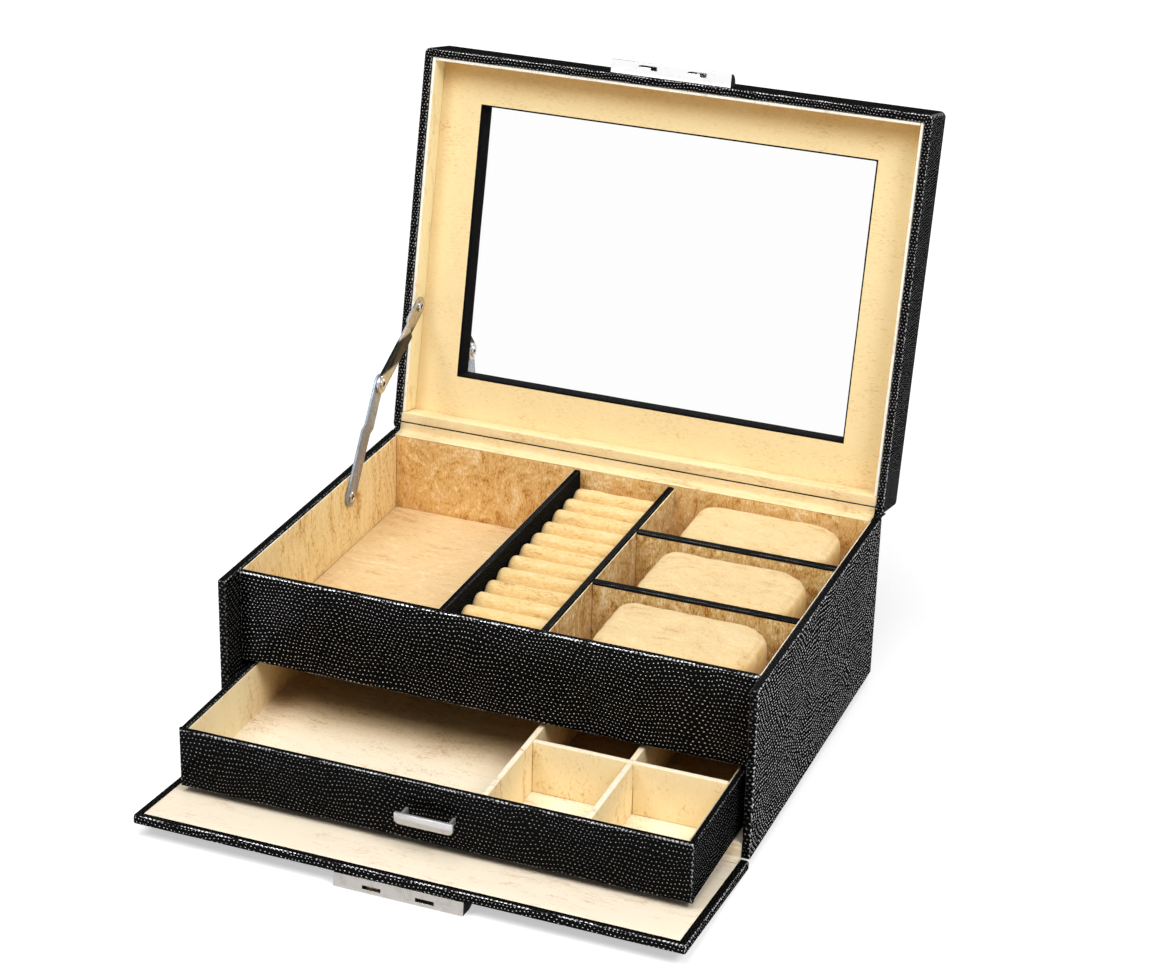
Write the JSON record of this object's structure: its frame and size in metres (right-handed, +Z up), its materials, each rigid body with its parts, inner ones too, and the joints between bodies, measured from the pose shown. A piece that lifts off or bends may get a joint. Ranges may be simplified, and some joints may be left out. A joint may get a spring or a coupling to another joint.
{
  "type": "ring box with drawer",
  "caption": "Leather-covered jewellery box with a mirrored lid, a lined tray with ring rolls and watch cushions, and a drawer behind a fall-front flap.",
  "frame": {"origin": "on the table, under the middle of the case's footprint (centre of the base pad's underside)", "axes": "+X to the object's right as it faces the user, +Y to the back, +Z up"},
  "size_m": [0.28, 0.3663, 0.3076],
  "materials": {
    "leather_black": "embossed fine scale grain, satin",
    "suede_cream": "crushed suede, soft mottled nap",
    "polished_steel": "polished",
    "brass": "plain",
    "felt_black": "felt",
    "card_black": "matt",
    "mirror_glass": "polished"
  },
  "bodies": {
    "case": {"base_pad": "felt_black", "bottom_board": "leather_black", "side_panel_left": "leather_black", "side_panel_right": "leather_black", "back_panel": "leather_black", "front_panel": "leather_black", "tray_board": "leather_black", "tray_floor_lining": "suede_cream", "side_lining_left": "suede_cream", "side_lining_right": "suede_cream", "back_lining": "suede_cream", "front_lining": "suede_cream", "case_ledge_strip": "suede_cream", "bay_lining": "suede_cream", "drawer_guide_left": "felt_black", "drawer_guide_right": "felt_black", "ring_divider": "leather_black", "centre_divider": "leather_black", "ring_divider_facing": "suede_cream", "centre_divider_facing": "suede_cream", "cross_divider_front": "suede_cream", "cross_divider_rear": "suede_cream", "cross_binding_front": "leather_black", "cross_binding_rear": "leather_black", "ring_rolls": "suede_cream", "stay_base_rivet": "polished_steel", "hinge_leather": "leather_black", "flap_hinge_cloth": "suede_cream"},
    "lid": {"lid_frame": "leather_black", "lid_panel": "leather_black", "lid_lining_left": "suede_cream", "lid_lining_right": "suede_cream", "lid_lining_front": "suede_cream", "lid_lining_hinge": "suede_cream", "lid_ledge_strip": "suede_cream", "mirror_panel": "suede_cream", "mirror_surround": "card_black", "mirror": "mirror_glass", "lid_lock": "polished_steel", "stay_lid_rivet": "polished_steel"},
    "drawer": {"drawer_front": "leather_black", "drawer_side_left": "leather_black", "drawer_side_right": "leather_black", "drawer_back": "leather_black", "drawer_floor": "leather_black", "drawer_lining": "suede_cream", "drawer_divider_main": "suede_cream", "drawer_divider_second": "suede_cream", "drawer_divider_cross": "suede_cream", "handle": "polished_steel"},
    "flap": {"flap_board": "leather_black", "flap_lining": "suede_cream", "flap_lock": "polished_steel"},
    "catch": {"lock_catch": "brass"},
    "stay_lower": {"stay_lower": "polished_steel"},
    "stay_upper": {"stay_upper": "polished_steel", "stay_elbow_rivet": "polished_steel"},
    "cushion_front": {"cushion_front": "suede_cream"},
    "cushion_middle": {"cushion_middle": "suede_cream"},
    "cushion_rear": {"cushion_rear": "suede_cream"}
  },
  "joints": [
    {"name": "lid_hinge", "type": "hinge", "parent": "case", "child": "lid", "pos_m": [0, 0.102, 0.0964], "axis": [1, 0, 0], "range_deg": [0, 102], "deforming": ["hinge_leather"]},
    {"name": "stay_lower_pivot", "type": "hinge", "parent": "case", "child": "stay_lower", "pos_m": [-0.1338, 0.0361, 0.0835], "axis": [1, 0, 0], "range_deg": [0, 109.6]},
    {"name": "stay_upper_pivot", "type": "hinge", "parent": "lid", "child": "stay_upper", "pos_m": [-0.1327, 0.1225, 0.16207], "axis": [1, 0, 0], "range_deg": [-123.1, 0]},
    {"name": "drawer_slide", "type": "slide", "parent": "case", "child": "drawer", "axis": [0, 1, 0], "range_m": [-0.045, 0.072]},
    {"name": "flap_hinge", "type": "hinge", "parent": "case", "child": "flap", "pos_m": [0, -0.102, 0.005], "axis": [-1, 0, 0], "range_deg": [0, 2.8], "deforming": ["flap_hinge_cloth"]},
    {"name": "catch_slide", "type": "slide", "parent": "flap", "child": "catch", "axis": [1, 0, 0], "range_m": [0, 0.003], "stiffness_N_per_m": 150, "springref_m": -0.001},
    {"name": "cushion_front_lift", "type": "slide", "parent": "case", "child": "cushion_front", "axis": [0, 0, -1], "range_m": [-0.06, 0]},
    {"name": "cushion_middle_lift", "type": "slide", "parent": "case", "child": "cushion_middle", "axis": [0, 0, -1], "range_m": [-0.06, 0]},
    {"name": "cushion_rear_lift", "type": "slide", "parent": "case", "child": "cushion_rear", "axis": [0, 0, -1], "range_m": [-0.06, 0]}
  ],
  "couplings": [
    {"joint": "stay_lower_pivot", "follows": "lid_hinge", "ratio": 1.0739},
    {"joint": "stay_upper_pivot", "follows": "lid_hinge", "ratio": -1.2058}
  ]
}
